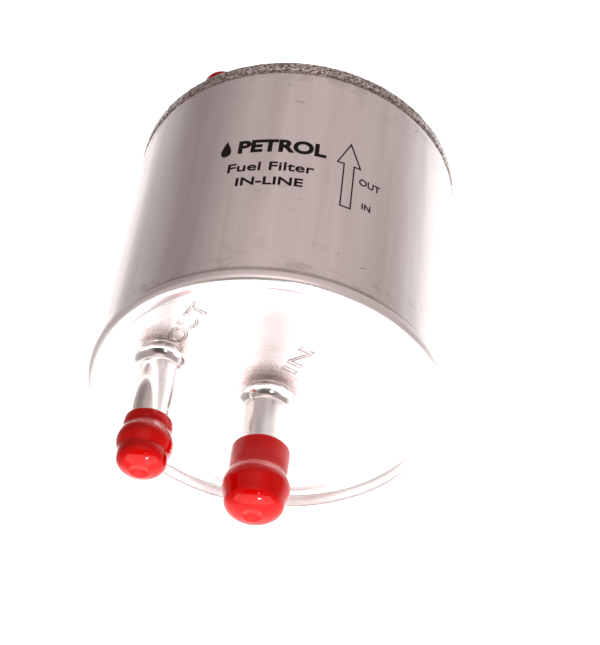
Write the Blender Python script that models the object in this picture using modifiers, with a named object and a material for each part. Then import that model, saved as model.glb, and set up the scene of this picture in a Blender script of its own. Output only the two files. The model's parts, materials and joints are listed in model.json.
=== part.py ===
"""In-line petrol filter with three pipes, lying on its side.

Metres, +Z up. The can's axis runs along +Y, from the inlet end to the outlet end. The origin is
under the middle of the whole filter, on the surface that it rests on.

A station is a distance along the can's axis, measured from the crest of the seam bead at the
inlet end (station 0) towards the outlet end. Profiles are lists of (radius, station) points.
"""

import math

import bmesh
import bpy
from mathutils import Vector

# ---------------------------------------------------------------- driving dimensions
CAN_RADIUS = 0.0370
CAN_LENGTH = 0.0695
SHEET = 0.0008
GAP = 0.0003
CAN_SIDES = 32
PIPE_SIDES = 20
SMALL_SIDES = 16

BEAD_RADIUS = 0.0383
BEAD_HEIGHT = 0.0027
BEAD_ROUND = 0.0013
CAN_RIM = 0.0019
COVER_RECESS = 0.0035
COVER_EDGE = 0.0018
LIP_RADIUS = 0.0342
LIP_SHEET = 0.0007

INLET_PIPE_RADIUS = 0.00475
SMALL_PIPE_RADIUS = 0.00396
PIPE_WALL = 0.0010
CAP_END = 0.0020
CAP_SPARE = 0.0007
WIDE_CAP_LENGTH = 0.0163
NARROW_CAP_LENGTH = 0.0123
COLLAR_BACK = 0.0028
COLLAR_EDGE = 0.0006
COLLAR_FLARE = 0.0024
INLET_COLLAR_RADIUS = 0.0066
SMALL_COLLAR_RADIUS = 0.0055
FLANGE_RADIUS = 0.0060

RETURN_X = -0.0220
RETURN_Z = 0.0110
OUTLET_X = -0.0208
OUTLET_Z = 0.0065

ELEMENT_START = 0.0217
ELEMENT_END = 0.0550
PLEATS = 24
PLEAT_OUTER = 0.0324
PLEAT_INNER = 0.0142
PAPER = 0.0005
TUBE_OUTER = 0.0131
TUBE_INNER = 0.0122
DISC_RADIUS = 0.0341
DISC_HOLE = 0.0105
DISC_RIM = 0.0046
POTTING = 0.0028

REGULATOR_RADIUS = 0.0090
REGULATOR_START = 0.0046
REGULATOR_END = 0.0178
REGULATOR_WALL = 0.0009
VALVE_SIDE = 0.0012
SMALL_PLATE = 0.0007

# ---------------------------------------------------------------- derived places
WALL_INSIDE = CAN_RADIUS - SHEET
INLET_PANEL_OUT = COVER_RECESS
INLET_PANEL_IN = COVER_RECESS + SHEET
OUTLET_PANEL_OUT = CAN_LENGTH - 0.0033
OUTLET_PANEL_IN = OUTLET_PANEL_OUT - SHEET
AXIS_HEIGHT = BEAD_RADIUS * math.cos(math.pi / CAN_SIDES)
INLET_CAP_TIP = -0.0285
RETURN_CAP_TIP = -0.0279
OUTLET_CAP_TIP = 0.0987
MIDDLE = (INLET_CAP_TIP + OUTLET_CAP_TIP) / 2

ALUMINIUM = ((0.62, 0.59, 0.58), 0.35, 1.0)
STEEL = ((0.72, 0.71, 0.70), 0.22, 1.0)
ZINC = ((0.60, 0.61, 0.60), 0.40, 1.0)
RED_VINYL = ((0.62, 0.01, 0.012), 0.18, 0.0)
RUBBER = ((0.03, 0.03, 0.03), 0.60, 0.0)
PAPER_COLOUR = ((0.72, 0.55, 0.28), 0.85, 0.0)
NYLON = ((0.80, 0.78, 0.70), 0.45, 0.0)
ADHESIVE = ((0.35, 0.38, 0.30), 0.55, 0.0)

# ---------------------------------------------------------------- scene and helpers
for old in list(bpy.data.objects):
    bpy.data.objects.remove(old, do_unlink=True)

parts = bpy.data.collections.new("fuel_filter")
cutters = bpy.data.collections.new("cutters")
bpy.context.scene.collection.children.link(parts)
bpy.context.scene.collection.children.link(cutters)


def material(name, look):
    """A Principled material from (colour, roughness, metallic)."""
    colour, roughness, metallic = look
    made = bpy.data.materials.new(name)
    made.use_nodes = True
    shader = made.node_tree.nodes["Principled BSDF"]
    shader.inputs["Base Color"].default_value = (*colour, 1)
    shader.inputs["Roughness"].default_value = roughness
    shader.inputs["Metallic"].default_value = metallic
    return made


def on_axis(x=0.0, z=0.0, station=0.0):
    """World place of a station on an axis that lies x and z beside the can's own."""
    return Vector((x, station - MIDDLE, AXIS_HEIGHT + z))


def as_object(name, data, look):
    """A part's object, in the part collection, with a material of its own."""
    made = bpy.data.objects.new(name, data)
    data.materials.append(material(name, look))
    parts.objects.link(made)
    return made


def as_cutter(obj):
    """Takes an object out of the model, so that it only cuts."""
    for holder in list(obj.users_collection):
        holder.objects.unlink(obj)
    cutters.objects.link(obj)
    obj.hide_render = True
    obj.display_type = "WIRE"
    return obj


def arc(radius, station, size, start, end, points=4):
    """Points of a round corner: its centre, its radius, and its angles from +radius to +station."""
    turns = [math.radians(start + (end - start) * i / (points - 1)) for i in range(points)]
    return [(radius + size * math.cos(t), station + size * math.sin(t)) for t in turns]


def clockwise(profile):
    """The closed profile, in the order that makes a Screw's faces point out."""
    pairs = zip(profile, profile[1:] + profile[:1])
    area = sum(a[0] * b[1] - b[0] * a[1] for a, b in pairs)
    return profile if area < 0 else profile[::-1]


def turned(name, profile, look, sides, x=0.0, z=0.0, origin=0.0):
    """A part turned about the can's axis, or about one beside it, from a closed profile."""
    solid = min(radius for radius, _ in profile) < 1e-6
    points = clockwise(profile)
    if solid:
        first = max(range(len(points)), key=lambda i: (points[i][0] < 1e-6, points[i][1]))
        points = points[first:] + points[:first]
    mesh = bpy.data.meshes.new(name)
    outline = bmesh.new()
    ring = [outline.verts.new((radius, 0, station - origin)) for radius, station in points]
    pairs = zip(ring, ring[1:] if solid else ring[1:] + ring[:1])
    for start, end in pairs:
        outline.edges.new((start, end))
    outline.to_mesh(mesh)
    outline.free()
    made = as_object(name, mesh, look)
    made.location = on_axis(x, z, origin)
    made.rotation_euler = (-math.pi / 2, math.pi / sides, 0)
    screw = made.modifiers.new("turn", "SCREW")
    screw.steps = screw.render_steps = sides
    screw.use_merge_vertices = True
    screw.merge_threshold = 1e-6
    screw.use_smooth_shade = True
    return made


def ring_profile(inner, outer, start, end):
    """Profile of a plain ring."""
    return [(outer, end), (outer, start), (inner, start), (inner, end)]


def bored(name, radius, start, end, x, z, sides=PIPE_SIDES):
    """A round cutter along the can's axis, or along one beside it."""
    bpy.ops.mesh.primitive_cylinder_add(
        vertices=sides,
        radius=radius,
        depth=end - start,
        location=on_axis(x, z, (start + end) / 2),
        rotation=(-math.pi / 2, 0, 0),
    )
    made = bpy.context.object
    made.name = name
    return as_cutter(made)


def panel_drill(name, start, end, x, z):
    """A cutter for a small pipe's hole through a cover's panel."""
    past = 0.002
    return bored(name, SMALL_PIPE_RADIUS + GAP, start - past, end + past, x, z)


def box_cutter(name, size, place, turn=0.0):
    """A box that cuts, turned about the can's axis."""
    bpy.ops.mesh.primitive_cube_add(size=1, location=place, rotation=(0, turn, 0))
    made = bpy.context.object
    made.name = name
    made.scale = size
    return as_cutter(made)


def cut(target, cutter):
    """Takes one cutter out of a part."""
    step = target.modifiers.new(cutter.name, "BOOLEAN")
    step.operation = "DIFFERENCE"
    step.solver = "EXACT"
    step.object = cutter


def joined_cutter(name, pieces):
    """Several separate cutters as one mesh."""
    bpy.ops.object.select_all(action="DESELECT")
    for piece in pieces:
        piece.select_set(True)
    bpy.context.view_layer.objects.active = pieces[0]
    bpy.ops.object.join()
    pieces[0].name = name
    return pieces[0]


def coil_height(turn, turns, length, wire):
    """Height of a spring's wire at a turn: the first and last turns lie nearly closed."""
    closed = 1.15 * wire  # pitch of the end turns, just clear of touching
    if turn < 1:
        return closed * turn
    if turn > turns - 1:
        return length - closed * (turns - turn)
    return closed + (length - 2 * closed) * (turn - 1) / (turns - 2)


def coil(name, radius, wire, start, end, turns, per_turn, x=0.0, z=0.0):
    """A compression spring of round wire between two stations."""
    curve = bpy.data.curves.new(name, "CURVE")
    curve.dimensions = "3D"
    curve.bevel_depth = wire / 2
    curve.bevel_resolution = 2
    curve.use_fill_caps = True
    line = curve.splines.new("POLY")
    line.points.add(turns * per_turn)
    for i, point in enumerate(line.points):
        turn = i / per_turn
        angle = 2 * math.pi * turn
        station = start + wire / 2 + coil_height(turn, turns, end - start - wire, wire)
        place = on_axis(x + radius * math.cos(angle), z + radius * math.sin(angle), station)
        point.co = (*place, 1)
    return as_object(name, curve, STEEL)


# ---------------------------------------------------------------- can and covers
def can_body():
    """Drawn wall: necked in under the inlet bead, and crimped inwards over the outlet cover."""
    neck = CAN_RADIUS - GAP
    neck_end = BEAD_HEIGHT + GAP
    groove = CAN_LENGTH - 0.0035
    groove_half = 0.0007
    crimp = CAN_RADIUS + 0.0001
    lip_round = 0.0010
    outside = [
        (neck, CAN_RIM),
        (neck, neck_end),
        (CAN_RADIUS, neck_end + GAP),
        (CAN_RADIUS, groove - groove_half),
        (CAN_RADIUS - 0.0005, groove),
        (crimp, groove + groove_half),
    ]
    lip = arc(crimp - lip_round, CAN_LENGTH - lip_round, lip_round, 0, 90)
    inside = [
        (LIP_RADIUS, CAN_LENGTH),
        (LIP_RADIUS, CAN_LENGTH - LIP_SHEET),
        (WALL_INSIDE, CAN_LENGTH - LIP_SHEET),
        (WALL_INSIDE, groove + groove_half),
        (WALL_INSIDE - 0.0007, groove),
        (WALL_INSIDE, groove - groove_half),
        (WALL_INSIDE, CAN_RIM),
    ]
    turned("can_body", outside + lip + inside, ALUMINIUM, CAN_SIDES)


def inlet_cover():
    """Pressed end whose edge folds over the can as a smooth bead, with its middle sunk."""
    crest_inside = 0.0010
    wall = WALL_INSIDE - GAP - SHEET
    hole = INLET_PIPE_RADIUS + GAP
    bead = arc(BEAD_RADIUS - BEAD_ROUND, BEAD_ROUND, BEAD_ROUND, 0, -90)
    shoulder = arc(wall + SHEET, SHEET, SHEET, -90, -180, 3)
    profile = [(CAN_RADIUS, BEAD_HEIGHT), (BEAD_RADIUS, BEAD_HEIGHT)] + bead + shoulder
    profile += [
        (wall, INLET_PANEL_OUT),
        (hole, INLET_PANEL_OUT),
        (hole, INLET_PANEL_IN),
        (wall + SHEET, INLET_PANEL_IN),
        (wall + SHEET, crest_inside),
        (CAN_RADIUS, crest_inside),
    ]
    made = turned("inlet_cover", profile, ALUMINIUM, CAN_SIDES)
    cut(made, panel_drill("return_hole", INLET_PANEL_OUT, INLET_PANEL_IN, RETURN_X, RETURN_Z))


def outlet_cover():
    """Pressed end held under the can's crimped lip, with its middle sunk."""
    flange = CAN_LENGTH - COVER_EDGE
    edge = WALL_INSIDE - 0.0002
    wall = 0.0330
    profile = [
        (edge, flange + SHEET),
        (edge, flange),
        (wall + SHEET, flange),
        (wall, OUTLET_PANEL_IN),
        (0, OUTLET_PANEL_IN),
        (0, OUTLET_PANEL_OUT),
        (wall - SHEET, OUTLET_PANEL_OUT),
        (wall, flange + SHEET),
    ]
    made = turned("outlet_cover", profile, ALUMINIUM, CAN_SIDES)
    cut(made, panel_drill("outlet_hole", OUTLET_PANEL_IN, OUTLET_PANEL_OUT, OUTLET_X, OUTLET_Z))


def seam_seals():
    """Sealing rings in the two seams."""
    thickness = 0.0005
    inlet_start = CAN_RIM - 0.0002 - thickness
    inlet = ring_profile(WALL_INSIDE, CAN_RADIUS - GAP, inlet_start, inlet_start + thickness)
    outlet_start = CAN_LENGTH - COVER_EDGE - 0.0001 - thickness
    outlet = ring_profile(0.0345, WALL_INSIDE - GAP, outlet_start, outlet_start + thickness)
    turned("inlet_seam_seal", inlet, RUBBER, CAN_SIDES)
    turned("outlet_seam_seal", outlet, RUBBER, CAN_SIDES)


# ---------------------------------------------------------------- pipes and caps
def stub(name, radius, collar, panel_out, panel_in, cap_tip, x=0.0, z=0.0):
    """A pipe through a cover: inner flange, flared collar outside, and a chamfered end."""
    way = 1 if cap_tip > panel_out else -1
    bore = radius - PIPE_WALL
    rise = collar - radius
    back = panel_out + way * COLLAR_BACK
    edge = back + way * COLLAR_EDGE
    tip = cap_tip - way * (CAP_END + CAP_SPARE)
    chamfer_start = tip - way * 0.0008
    chamfer_radius = radius - 0.0005
    flange_out = panel_in - way * GAP
    flange_in = flange_out - way * SHEET
    flare = [
        (radius + share * rise, edge + way * along * COLLAR_FLARE)
        for share, along in ((0.60, 0.12), (0.32, 0.30), (0.12, 0.60), (0.0, 1.0))
    ]
    profile = [(bore, flange_in), (FLANGE_RADIUS, flange_in), (FLANGE_RADIUS, flange_out)]
    profile += [(radius, flange_out), (radius, back - way * GAP), (collar, back), (collar, edge)]
    profile += flare + [(radius, chamfer_start), (chamfer_radius, tip), (bore, tip)]
    turned(name, profile, STEEL, PIPE_SIDES, x, z)


def cap(name, bore, length, tip, shape, x=0.0, z=0.0):
    """A dipped-vinyl thimble. shape is (share of the length from the opening, outer radius)."""
    way = 1 if tip > 0 else -1
    opening = tip - way * length
    end = tip - way * CAP_END
    outside = [(radius, opening + way * share * length) for share, radius in shape]
    profile = [(bore, opening)] + outside + [(0, tip), (0, end), (bore, end)]
    turned(name, profile, RED_VINYL, PIPE_SIDES, x, z, origin=opening)


def stubs_and_caps():
    stub(
        "inlet_stub", INLET_PIPE_RADIUS, INLET_COLLAR_RADIUS, INLET_PANEL_OUT, INLET_PANEL_IN,
        INLET_CAP_TIP,
    )
    stub(
        "return_stub", SMALL_PIPE_RADIUS, SMALL_COLLAR_RADIUS, INLET_PANEL_OUT, INLET_PANEL_IN,
        RETURN_CAP_TIP, RETURN_X, RETURN_Z,
    )
    stub(
        "outlet_stub", SMALL_PIPE_RADIUS, SMALL_COLLAR_RADIUS, OUTLET_PANEL_OUT, OUTLET_PANEL_IN,
        OUTLET_CAP_TIP, OUTLET_X, OUTLET_Z,
    )
    wide = [
        (0.0, 0.00595), (0.02, 0.00610), (0.30, 0.00605), (0.40, 0.00600), (0.48, 0.00665),
        (0.56, 0.00692), (0.62, 0.00690), (0.72, 0.00650), (0.81, 0.00615), (0.90, 0.0054),
        (0.97, 0.0038),
    ]
    narrow = [
        (0.0, 0.00485), (0.02, 0.00495), (0.15, 0.00492), (0.205, 0.00486), (0.30, 0.00530),
        (0.40, 0.00564), (0.47, 0.00567), (0.56, 0.00540), (0.66, 0.00500), (0.78, 0.00508),
        (0.86, 0.00485), (0.94, 0.0041), (0.985, 0.0029),
    ]
    wide_bore = INLET_PIPE_RADIUS + GAP
    bore = SMALL_PIPE_RADIUS + GAP
    cap("inlet_cap", wide_bore, WIDE_CAP_LENGTH, INLET_CAP_TIP, wide)
    cap("return_cap", bore, NARROW_CAP_LENGTH, RETURN_CAP_TIP, narrow, RETURN_X, RETURN_Z)
    cap("outlet_cap", bore, NARROW_CAP_LENGTH, OUTLET_CAP_TIP, narrow, OUTLET_X, OUTLET_Z)


# ---------------------------------------------------------------- filter element
def filter_paper():
    """Pleated paper ring: an open zigzag wall, thickened."""
    outer_fold = 0.020
    inner_fold = 0.035
    outline = bmesh.new()
    step = 2 * math.pi / PLEATS
    rings = []
    for station in (ELEMENT_START, ELEMENT_END):
        ring = []
        for pleat in range(PLEATS):
            middle = pleat * step
            corners = (
                (PLEAT_OUTER, middle - outer_fold),
                (PLEAT_OUTER, middle + outer_fold),
                (PLEAT_INNER, middle + step / 2 - inner_fold),
                (PLEAT_INNER, middle + step / 2 + inner_fold),
            )
            for radius, turn in corners:
                place = on_axis(radius * math.cos(turn), radius * math.sin(turn), station)
                ring.append(outline.verts.new(place))
        rings.append(ring)
    near, far = rings
    for i in range(len(near)):
        j = (i + 1) % len(near)
        outline.faces.new((near[i], near[j], far[j], far[i]))
    mesh = bpy.data.meshes.new("filter_paper")
    outline.to_mesh(mesh)
    outline.free()
    made = as_object("filter_paper", mesh, PAPER_COLOUR)
    skin = made.modifiers.new("thickness", "SOLIDIFY")
    skin.thickness = PAPER
    skin.offset = 0


def seam_clip():
    """Folded metal strip that closes the pleat ring's two end leaves, over one outer fold."""
    width = 0.0030
    length = 0.0290
    depth = 0.0036
    strip = 0.0003
    top = PLEAT_OUTER + PAPER / 2 + GAP + strip
    middle = (ELEMENT_START + ELEMENT_END) / 2
    box = bmesh.new()
    bmesh.ops.create_cube(box, size=1)
    bmesh.ops.scale(box, vec=(width, length, depth), verts=box.verts)
    mesh = bpy.data.meshes.new("seam_clip")
    box.to_mesh(mesh)
    box.free()
    made = as_object("seam_clip", mesh, ZINC)
    made.location = on_axis(0, top - depth / 2, middle)
    size = (width - 2 * strip, 2 * length, depth)
    cut(made, box_cutter("seam_clip_slot", size, on_axis(0, top - strip - depth / 2, middle)))


def centre_tube():
    """Perforated tube that the pleats stand on."""
    made = turned(
        "centre_tube", ring_profile(TUBE_INNER, TUBE_OUTER, ELEMENT_START, ELEMENT_END), ZINC, 24,
    )
    rows = 4
    columns = 6
    hole_radius = 0.0020
    drill_length = 0.0040
    middle = (TUBE_INNER + TUBE_OUTER) / 2
    drills = []
    for row in range(rows):
        station = ELEMENT_START + (row + 0.5) * (ELEMENT_END - ELEMENT_START) / rows
        for column in range(columns):
            turn = 2 * math.pi * (column + 0.5 * (row % 2)) / columns
            bpy.ops.mesh.primitive_cylinder_add(
                vertices=8,
                radius=hole_radius,
                depth=drill_length,
                location=on_axis(middle * math.cos(turn), middle * math.sin(turn), station),
                rotation=(0, math.pi / 2 - turn, 0),
            )
            drills.append(as_cutter(bpy.context.object))
    cut(made, joined_cutter("tube_holes", drills))


def end_discs():
    """Closed disc at the inlet side, open disc at the outlet side, both with a turned-in rim."""
    closed_face = ELEMENT_START - POTTING
    inlet = [
        (DISC_RADIUS, closed_face + DISC_RIM),
        (DISC_RADIUS, closed_face),
        (0, closed_face),
        (0, closed_face + SHEET),
        (DISC_RADIUS - SHEET, closed_face + SHEET),
        (DISC_RADIUS - SHEET, closed_face + DISC_RIM),
    ]
    turned("inlet_end_disc", inlet, ZINC, CAN_SIDES)
    open_face = ELEMENT_END + POTTING
    outlet = [
        (DISC_RADIUS, open_face),
        (DISC_RADIUS, open_face - DISC_RIM),
        (DISC_RADIUS - SHEET, open_face - DISC_RIM),
        (DISC_RADIUS - SHEET, open_face - SHEET),
        (DISC_HOLE, open_face - SHEET),
        (DISC_HOLE, open_face),
    ]
    turned("outlet_end_disc", outlet, ZINC, CAN_SIDES)


def adhesives():
    """Potting between the pleat ends and the discs."""
    inner = TUBE_INNER - 0.0010
    outer = DISC_RADIUS - SHEET - GAP
    depth = POTTING - SHEET - GAP
    inlet = ring_profile(inner, outer, ELEMENT_START - depth, ELEMENT_START - GAP)
    outlet = ring_profile(inner, outer, ELEMENT_END + GAP, ELEMENT_END + depth)
    turned("inlet_adhesive", inlet, ADHESIVE, CAN_SIDES)
    turned("outlet_adhesive", outlet, ADHESIVE, CAN_SIDES)


def wall_seal():
    """Rubber ring between the open disc and the can wall, with a lip on the dirty side."""
    inner = DISC_RADIUS + GAP
    outer = WALL_INSIDE - GAP
    back = ELEMENT_END + POTTING - 0.0002
    body = 0.0012
    waist = 0.0020
    lip = 0.0038
    profile = [
        (outer, back), (outer, back - body), (outer - 0.0006, back - waist),
        (outer, back - lip + 0.0002), (outer - 0.0005, back - lip), (inner, back - 0.0030),
        (inner, back),
    ]
    turned("wall_seal", profile, RUBBER, CAN_SIDES)


def outlet_spacer():
    """Castellated ring that keeps the element off the outlet cover and lets fuel through."""
    inner = 0.0125
    outer = 0.0145
    start = ELEMENT_END + POTTING + GAP
    end = OUTLET_PANEL_IN - GAP
    window = (0.0400, 0.0080, 0.0060)
    made = turned("outlet_spacer", ring_profile(inner, outer, start, end), NYLON, 24)
    for turn in (0, 90):
        place = on_axis(station=end - GAP)
        cut(made, box_cutter(f"window_{turn}", window, place, math.radians(turn)))


def element_spring():
    """Spring that presses the element home, and the pressed cup that centres it."""
    cup_face = ELEMENT_START - POTTING - GAP
    cup_edge = 0.0128
    skirt_top = 0.0088
    skirt_end = 0.0084
    skirt = 0.0034
    start = INLET_PANEL_IN + GAP
    coil("element_spring", 0.0105, 0.0014, start, cup_face - SHEET - GAP, 4, 14)
    cup = [
        (cup_edge, cup_face), (cup_edge, cup_face - SHEET), (skirt_top, cup_face - SHEET),
        (skirt_end, cup_face - skirt), (skirt_end - SHEET, cup_face - skirt),
        (skirt_top - SHEET, cup_face),
    ]
    turned("spring_cup", cup, ZINC, 24)


# ---------------------------------------------------------------- pressure regulator
def hole_ring(name, count, pitch_radius, radius, station):
    """Small holes in a ring about the return pipe's axis, through a thin plate."""
    sides = 8
    before = 0.001
    past = 0.002
    holes = []
    for i in range(count):
        turn = 2 * math.pi * i / count
        x = RETURN_X + pitch_radius * math.cos(turn)
        z = RETURN_Z + pitch_radius * math.sin(turn)
        holes.append(bored(f"{name}_{i}", radius, station - before, station + past, x, z, sides))
    return joined_cutter(name, holes)


def regulator():
    """Relief valve behind the return pipe: fuel lifts the valve off its seat against the spring."""
    seat_thickness = 0.0010
    inside = REGULATOR_RADIUS - REGULATOR_WALL
    floor = REGULATOR_END - REGULATOR_WALL
    seat_face = floor - GAP - seat_thickness
    valve_face = seat_face - GAP
    valve_back = valve_face - VALVE_SIDE
    plate_start = INLET_PANEL_IN + 0.0026
    plate_end = plate_start + SMALL_PLATE
    regulator_case(inside, floor)
    seat = ring_profile(0.0018, inside - GAP, seat_face, floor - GAP)
    turned("regulator_seat", seat, STEEL, PIPE_SIDES, RETURN_X, RETURN_Z)
    regulator_valve(valve_face, valve_back)
    plate = ring_profile(0.0012, inside - GAP, plate_start, plate_end)
    made = turned("regulator_spring_plate", plate, ZINC, PIPE_SIDES, RETURN_X, RETURN_Z)
    cut(made, hole_ring("plate_holes", 4, 0.0056, 0.0010, plate_start))
    coil(
        "regulator_spring", 0.0024, 0.0007, plate_end + GAP, valve_back - GAP, 5, 10,
        RETURN_X, RETURN_Z,
    )
    o_ring = arc(0.0072, INLET_PANEL_IN + 0.0016, 0.0006, 0, 315, 8)
    turned("regulator_o_ring", o_ring, RUBBER, PIPE_SIDES, RETURN_X, RETURN_Z)
    regulator_screen()


def regulator_case(inside, floor):
    """Cup behind the return pipe, with the way in through its floor."""
    inlet = 0.0040
    case = [
        (REGULATOR_RADIUS, REGULATOR_END), (REGULATOR_RADIUS, REGULATOR_START),
        (inside, REGULATOR_START), (inside, floor), (inlet, floor), (inlet, REGULATOR_END),
    ]
    turned("regulator_body", case, ZINC, PIPE_SIDES, RETURN_X, RETURN_Z)


def regulator_valve(face, back):
    """Flat valve with a stem that guides the spring. Its origin is on the sealing face."""
    side = 0.0032
    stem = 0.0012
    shoulder = back - 0.0004
    stem_end = face - 0.0034
    valve = [(0, face), (side, face), (side, back), (stem, shoulder), (stem, stem_end), (0, stem_end)]
    turned("regulator_valve", valve, STEEL, SMALL_SIDES, RETURN_X, RETURN_Z, origin=face)


def regulator_screen():
    """Perforated disc over the regulator's way in."""
    start = REGULATOR_END + GAP
    screen = ring_profile(0.0006, 0.0062, start, start + 0.0004)
    made = turned("regulator_screen", screen, ZINC, SMALL_SIDES, RETURN_X, RETURN_Z)
    cut(made, hole_ring("screen_holes", 6, 0.0024, 0.0006, start))


can_body()
inlet_cover()
outlet_cover()
seam_seals()
stubs_and_caps()
filter_paper()
seam_clip()
centre_tube()
end_discs()
adhesives()
wall_seal()
outlet_spacer()
element_spring()
regulator()
bpy.context.view_layer.update()
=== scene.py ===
"""Looks of the in-line petrol filter: detailed shells, pipes, caps, print and finishes round the CAD frame.

Metres, +Z up. The can's axis runs along +Y. A station is a distance along that axis from the crest
of the inlet bead, and an angle is measured round the axis from the top of the can towards +X.
"""

import json
import math

import bmesh
import bpy
from mathutils import Matrix, Vector, noise


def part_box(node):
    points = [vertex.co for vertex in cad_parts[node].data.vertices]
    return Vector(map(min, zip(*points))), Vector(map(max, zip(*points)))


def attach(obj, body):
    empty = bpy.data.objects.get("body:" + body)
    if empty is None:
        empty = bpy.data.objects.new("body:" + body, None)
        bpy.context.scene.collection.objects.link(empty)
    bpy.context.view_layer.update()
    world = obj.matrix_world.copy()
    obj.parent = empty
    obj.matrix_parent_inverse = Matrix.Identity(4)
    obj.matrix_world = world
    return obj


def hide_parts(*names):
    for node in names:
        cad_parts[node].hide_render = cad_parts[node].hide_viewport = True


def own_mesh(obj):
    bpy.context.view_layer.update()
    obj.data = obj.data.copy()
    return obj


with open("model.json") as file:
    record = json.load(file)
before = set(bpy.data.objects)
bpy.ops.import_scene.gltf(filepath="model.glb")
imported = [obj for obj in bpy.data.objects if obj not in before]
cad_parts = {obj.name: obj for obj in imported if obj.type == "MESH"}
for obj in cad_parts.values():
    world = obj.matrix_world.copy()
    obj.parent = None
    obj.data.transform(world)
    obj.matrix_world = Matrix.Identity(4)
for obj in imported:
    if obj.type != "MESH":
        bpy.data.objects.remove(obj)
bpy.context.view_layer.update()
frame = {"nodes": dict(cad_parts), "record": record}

MM = 0.001

# ---------------------------------------------------------------- places read from the frame
cover_low, cover_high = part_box("inlet_cover")
AXIS_X = (cover_low.x + cover_high.x) / 2
AXIS_Z = (cover_low.z + cover_high.z) / 2
CREST_Y = cover_low.y
CAN_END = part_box("can_body")[1].y - CREST_Y
OUTLET_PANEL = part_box("outlet_cover")[1].y - CREST_Y - 2.3 * MM

CAN_RADIUS = 37.0 * MM
CAN_RIM = 1.9 * MM
LIP_RADIUS = 34.2 * MM
LIP_SHEET = 0.7 * MM
BEAD_RADIUS = 38.3 * MM
BEAD_ROUND = 1.3 * MM
BEAD_HEIGHT = 2.7 * MM
SHEET = 0.8 * MM
RECESS = 3.5 * MM
GROOVE_HALF = 0.7 * MM
GROOVE = CAN_END - 3.5 * MM
CRIMP_START = GROOVE - GROOVE_HALF
INLET_PIPE_RADIUS = 4.75 * MM
INLET_COLLAR_RADIUS = 6.6 * MM
INLET_HOLE_RADIUS = 4.95 * MM
SMALL_PIPE_RADIUS = 3.96 * MM
SMALL_COLLAR_RADIUS = 5.5 * MM
SMALL_HOLE_RADIUS = 4.16 * MM
CAP_GAP = 0.30 * MM
CAN_TURNS = 480
COVER_TURNS = 256
PIPE_TURNS = 96
SHARP_DEGREES = 38


def at(x, station, z):
    """World point x and z beside the can's axis, at a station."""
    return Vector((AXIS_X + x, CREST_Y + station, AXIS_Z + z))


def pipe_axis(node):
    """How far a pipe or cap lies beside the can's axis."""
    low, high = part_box(node)
    return (low.x + high.x) / 2 - AXIS_X, (low.z + high.z) / 2 - AXIS_Z


def stations(node):
    """First and last station of a CAD node."""
    low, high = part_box(node)
    return low.y - CREST_Y, high.y - CREST_Y


# ---------------------------------------------------------------- camera
CAMERA_AIM = at(4.81 * MM, 23.68 * MM, 1.09 * MM)
CAMERA_DISTANCE = 0.360
CAMERA_AZIMUTH = math.radians(5.215)
CAMERA_ELEVATION = math.radians(47.0)
CAMERA_LENS_MM = 91.42


def make_camera():
    """Camera above the inlet end, a little to the right."""
    level = math.cos(CAMERA_ELEVATION)
    back = Vector((
        math.sin(CAMERA_AZIMUTH) * level,
        -math.cos(CAMERA_AZIMUTH) * level,
        math.sin(CAMERA_ELEVATION),
    ))
    data = bpy.data.cameras.new("camera")
    data.lens = CAMERA_LENS_MM
    data.sensor_width = 36.0
    data.clip_start = 0.01
    data.clip_end = 20.0
    camera = bpy.data.objects.new("camera", data)
    camera.location = CAMERA_AIM + back * CAMERA_DISTANCE
    camera.rotation_mode = "QUATERNION"
    camera.rotation_quaternion = (-back).to_track_quat("-Z", "Y")
    bpy.context.scene.collection.objects.link(camera)
    bpy.context.scene.camera = camera


make_camera()


# ---------------------------------------------------------------- outlines
def rounded(corners, steps=6):
    """Closed outline of (radius, station, corner round), as (radius, station) points."""
    points = []
    for i, (radius, station, size) in enumerate(corners):
        here = Vector((radius, station))
        if size <= 0:
            points.append(here)
            continue
        before = Vector(corners[i - 1][:2]) - here
        after = Vector(corners[(i + 1) % len(corners)][:2]) - here
        half = before.angle(after) / 2
        reach = min(size / math.tan(half), before.length * 0.49, after.length * 0.49)
        size = reach * math.tan(half)
        before.normalize()
        after.normalize()
        centre = here + (before + after).normalized() * size / math.sin(half)
        first = here + before * reach - centre
        turn = first.angle_signed(here + after * reach - centre)
        for k in range(steps + 1):
            spin = Matrix.Rotation(-turn * k / steps, 2)
            points.append(centre + spin @ first)
    return [(p.x, p.y) for p in points]


def smooth(points, steps=6):
    """Open Catmull-Rom line through the points."""
    line = []
    ends = [points[0]] + list(points) + [points[-1]]
    for a, b, c, d in zip(ends, ends[1:], ends[2:], ends[3:]):
        for k in range(steps):
            t = k / steps
            line.append(tuple(
                0.5 * (2 * q + (r - p) * t + (2 * p - 5 * q + 4 * r - s) * t * t
                       + (3 * q - p - 3 * r + s) * t ** 3)
                for p, q, r, s in zip(a, b, c, d)
            ))
    return line + [tuple(points[-1])]


def divided(outline, longest, closed=True):
    """The outline with its long edges split."""
    points = []
    ends = outline[1:] + outline[:1] if closed else outline[1:]
    for (ra, sa), (rb, sb) in zip(outline, ends):
        parts = max(1, math.ceil(math.hypot(rb - ra, sb - sa) / longest))
        for k in range(parts):
            t = k / parts
            points.append((ra + (rb - ra) * t, sa + (sb - sa) * t))
    if not closed:
        points.append(outline[-1])
    return points


# ---------------------------------------------------------------- mesh helpers
def new_object(name, mesh, material, sharp=SHARP_DEGREES):
    """A visible mesh piece, shaded smooth except at sharp edges."""
    mesh.materials.append(material)
    mesh.shade_smooth()
    mesh.set_sharp_from_angle(angle=math.radians(sharp))
    made = bpy.data.objects.new(name, mesh)
    bpy.context.scene.collection.objects.link(made)
    return made


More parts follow.
